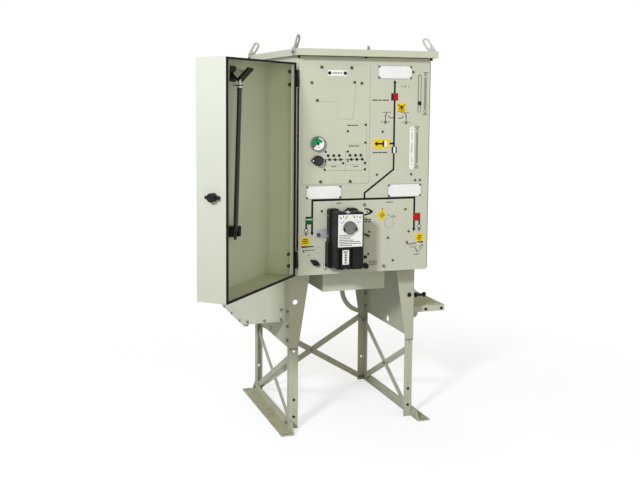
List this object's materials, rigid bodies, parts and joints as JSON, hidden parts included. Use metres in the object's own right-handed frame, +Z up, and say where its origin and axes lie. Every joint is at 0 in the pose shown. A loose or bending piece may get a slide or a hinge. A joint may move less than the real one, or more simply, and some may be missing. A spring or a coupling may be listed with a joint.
{
  "type": "outdoor ring main unit on a stand",
  "caption": "Outdoor medium-voltage switchgear cabinet on a braced steel stand, deep front door swung open on an instrument and switch panel.",
  "frame": {"origin": "on the ground, at the centre of the four anchor slots of the base angles", "axes": "+X to the right when facing the front panel, +Y to the rear, +Z up; the front panel faces -Y"},
  "size_m": [1.284, 1.2065, 1.709],
  "materials": {
    "painted_grey": "light grey paint, weathered",
    "painted_stand": "grey paint, dusty",
    "door_paint": "light grey paint",
    "black_plastic": "moulded black",
    "black_metal": "black coating",
    "rubber": "black foam rubber",
    "white_label": "white laminate",
    "gauge": "grey rim with a coloured dial",
    "grey_knob": "grey moulded",
    "zinc": "zinc plated",
    "galvanised": "dull galvanised",
    "handle": "black sleeved steel rod"
  },
  "bodies": {
    "cabinet": {"left_base_angle": "painted_stand", "right_base_angle": "painted_stand", "left_side_frame": "painted_grey", "right_side_frame": "painted_grey", "front_left_leg": "painted_stand", "front_right_leg": "painted_stand", "rear_left_leg": "painted_stand", "rear_right_leg": "painted_stand", "left_outer_brace": "painted_stand", "left_inner_brace": "painted_stand", "right_outer_brace": "painted_stand", "right_inner_brace": "painted_stand", "rear_outer_brace": "painted_stand", "rear_inner_brace": "painted_stand", "cabinet_body": "painted_grey", "front_panel": "painted_grey", "under_box": "painted_grey", "roof": "painted_grey", "lifting_lugs": "zinc", "left_gland_plate": "painted_grey", "right_gland_plate": "painted_grey", "left_cable_box": "painted_grey", "gland_stub": "galvanised", "drain_plug": "black_plastic", "earth_stud": "black_metal", "earth_boss": "painted_stand", "rear_conduit": "galvanised", "instrument_cover": "painted_grey", "pressure_gauge": "gauge", "test_sockets": "black_plastic", "label_plates": "white_label", "indicator_slider": "black_plastic", "actuator_housing": "black_plastic", "actuator_plates": "white_label", "actuator_bracket": "zinc", "lower_wing_knob": "black_plastic", "lower_round_knob": "black_plastic", "cabinet_hinge_leaves": "black_metal"},
    "door": {"door_shell": "door_paint", "door_gasket": "rubber", "door_hinge_leaves": "black_metal", "operating_handle": "handle", "handle_clips": "black_plastic"},
    "latch": {"latch_knob": "black_plastic"},
    "selector": {"selector_knob": "black_plastic"},
    "actuator_switch": {"actuator_knob": "grey_knob"}
  },
  "joints": [
    {"name": "front_door", "type": "hinge", "parent": "cabinet", "child": "door", "pos_m": [-0.305, -0.389, 1.1625], "axis": [0, 0, 1], "range_deg": [-38.3, 131.7]},
    {"name": "latch_turn", "type": "hinge", "parent": "door", "child": "latch", "pos_m": [-0.74728, -0.80122, 1.093], "axis": [-0.6652, -0.7466, 0], "range_deg": [0, 90]},
    {"name": "selector_turn", "type": "hinge", "parent": "cabinet", "child": "selector", "pos_m": [-0.215, -0.386, 1.189], "axis": [0, 1, 0], "range_deg": [0, 90]},
    {"name": "actuator_turn", "type": "hinge", "parent": "cabinet", "child": "actuator_switch", "pos_m": [-0.11, -0.495, 0.918], "axis": [0, 1, 0], "range_deg": [-45, 45]}
  ]
}
